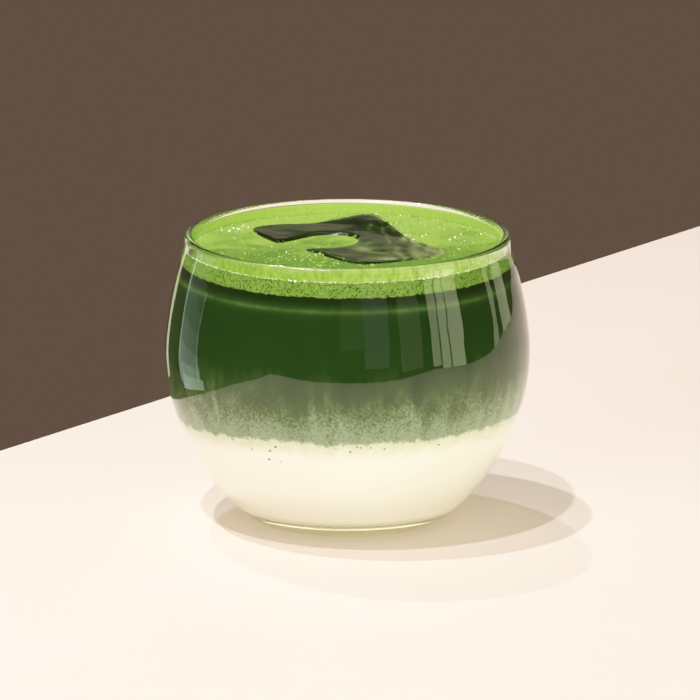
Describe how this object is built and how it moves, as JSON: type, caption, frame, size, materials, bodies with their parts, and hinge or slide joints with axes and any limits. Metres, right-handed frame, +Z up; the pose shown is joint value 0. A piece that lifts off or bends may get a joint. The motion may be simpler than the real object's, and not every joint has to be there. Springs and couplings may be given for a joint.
{
  "type": "matcha latte",
  "caption": "Iced layered matcha latte in a round clear tumbler: white milk below, green tea above, fine foam and one block of ice on top.",
  "frame": {"origin": "centre of the tumbler's base, on the surface it stands on", "axes": "+Z up along the tumbler's axis; the pictured side faces -Y"},
  "size_m": [0.09, 0.09, 0.0712],
  "materials": {
    "clear_glass": "smooth clear glass",
    "milk": "opaque white milk",
    "matcha": "dark cloudy green tea, paler where it mixes with the milk",
    "foam": "fine wet bubbles",
    "ice": "wet clear ice"
  },
  "bodies": {
    "root": {"tumbler": "clear_glass", "milk": "milk", "matcha": "matcha", "foam": "foam", "ice": "ice"}
  },
  "joints": []
}
